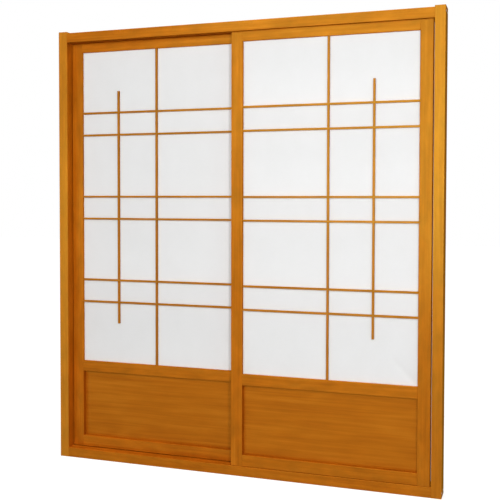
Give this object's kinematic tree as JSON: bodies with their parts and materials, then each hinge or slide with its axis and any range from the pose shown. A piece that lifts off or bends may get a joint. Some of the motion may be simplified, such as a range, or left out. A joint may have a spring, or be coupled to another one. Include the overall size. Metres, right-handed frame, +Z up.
{
  "type": "pair of shoji sliding panels",
  "caption": "Sliding shoji panels of paper on a half-lapped wooden lattice above a low board, running on rollers in the tracks of a wooden frame.",
  "frame": {"origin": "middle of the frame's underside, on the floor", "axes": "+X along the tracks towards the right jamb, +Y from the front to the back, +Z up"},
  "size_m": [1.803, 0.086, 2.032],
  "materials": {
    "honey_wood": "satin lacquer over honey-coloured softwood",
    "paper": "matte white fibrous paper, slightly translucent",
    "steel": "plain zinc-plated steel",
    "nylon": "plain moulded nylon"
  },
  "bodies": {
    "frame": {"left_jamb": "honey_wood", "right_jamb": "honey_wood", "head": "honey_wood", "sill": "honey_wood", "corner_screws": "steel"},
    "left_panel": {"left_outer_stile": "honey_wood", "left_meeting_stile": "honey_wood", "left_top_rail": "honey_wood", "left_mid_rail": "honey_wood", "left_bottom_rail": "honey_wood", "left_lower_board": "honey_wood", "left_paper": "paper", "left_centre_bar": "honey_wood", "left_short_bar": "honey_wood", "left_cross_bar_1": "honey_wood", "left_cross_bar_2": "honey_wood", "left_cross_bar_3": "honey_wood", "left_cross_bar_4": "honey_wood", "left_cross_bar_5": "honey_wood", "left_cross_bar_6": "honey_wood", "left_roller_housing_1": "steel", "left_roller_axle_1": "steel", "left_roller_housing_2": "steel", "left_roller_axle_2": "steel", "left_roller_screws": "steel"},
    "left_wheel_1": {"left_roller_wheel_1": "nylon"},
    "left_wheel_2": {"left_roller_wheel_2": "nylon"},
    "right_panel": {"right_outer_stile": "honey_wood", "right_meeting_stile": "honey_wood", "right_top_rail": "honey_wood", "right_mid_rail": "honey_wood", "right_bottom_rail": "honey_wood", "right_lower_board": "honey_wood", "right_paper": "paper", "right_centre_bar": "honey_wood", "right_short_bar": "honey_wood", "right_cross_bar_1": "honey_wood", "right_cross_bar_2": "honey_wood", "right_cross_bar_3": "honey_wood", "right_cross_bar_4": "honey_wood", "right_cross_bar_5": "honey_wood", "right_cross_bar_6": "honey_wood", "right_roller_housing_1": "steel", "right_roller_axle_1": "steel", "right_roller_housing_2": "steel", "right_roller_axle_2": "steel", "right_roller_screws": "steel"},
    "right_wheel_1": {"right_roller_wheel_1": "nylon"},
    "right_wheel_2": {"right_roller_wheel_2": "nylon"}
  },
  "joints": [
    {"name": "left_slide", "type": "slide", "parent": "frame", "child": "left_panel", "axis": [1, 0, 0], "range_m": [-0.0015, 0.832]},
    {"name": "left_wheel_1_turn", "type": "hinge", "parent": "left_panel", "child": "left_wheel_1", "pos_m": [-0.7355, 0.0215, 0.0563], "axis": [0, 1, 0], "range_deg": [-10, 2810]},
    {"name": "left_wheel_2_turn", "type": "hinge", "parent": "left_panel", "child": "left_wheel_2", "pos_m": [-0.095, 0.0215, 0.0563], "axis": [0, 1, 0], "range_deg": [-10, 2810]},
    {"name": "right_slide", "type": "slide", "parent": "frame", "child": "right_panel", "axis": [1, 0, 0], "range_m": [-0.8295, 0.004]},
    {"name": "right_wheel_1_turn", "type": "hinge", "parent": "right_panel", "child": "right_wheel_1", "pos_m": [0.733, -0.0215, 0.0563], "axis": [0, 1, 0], "range_deg": [-2805, 20]},
    {"name": "right_wheel_2_turn", "type": "hinge", "parent": "right_panel", "child": "right_wheel_2", "pos_m": [0.0925, -0.0215, 0.0563], "axis": [0, 1, 0], "range_deg": [-2805, 20]}
  ],
  "couplings": [
    {"joint": "left_wheel_1_turn", "follows": "left_slide", "rad_per_m": 58.824},
    {"joint": "left_wheel_2_turn", "follows": "left_slide", "rad_per_m": 58.824},
    {"joint": "right_wheel_1_turn", "follows": "right_slide", "rad_per_m": 58.824},
    {"joint": "right_wheel_2_turn", "follows": "right_slide", "rad_per_m": 58.824}
  ]
}
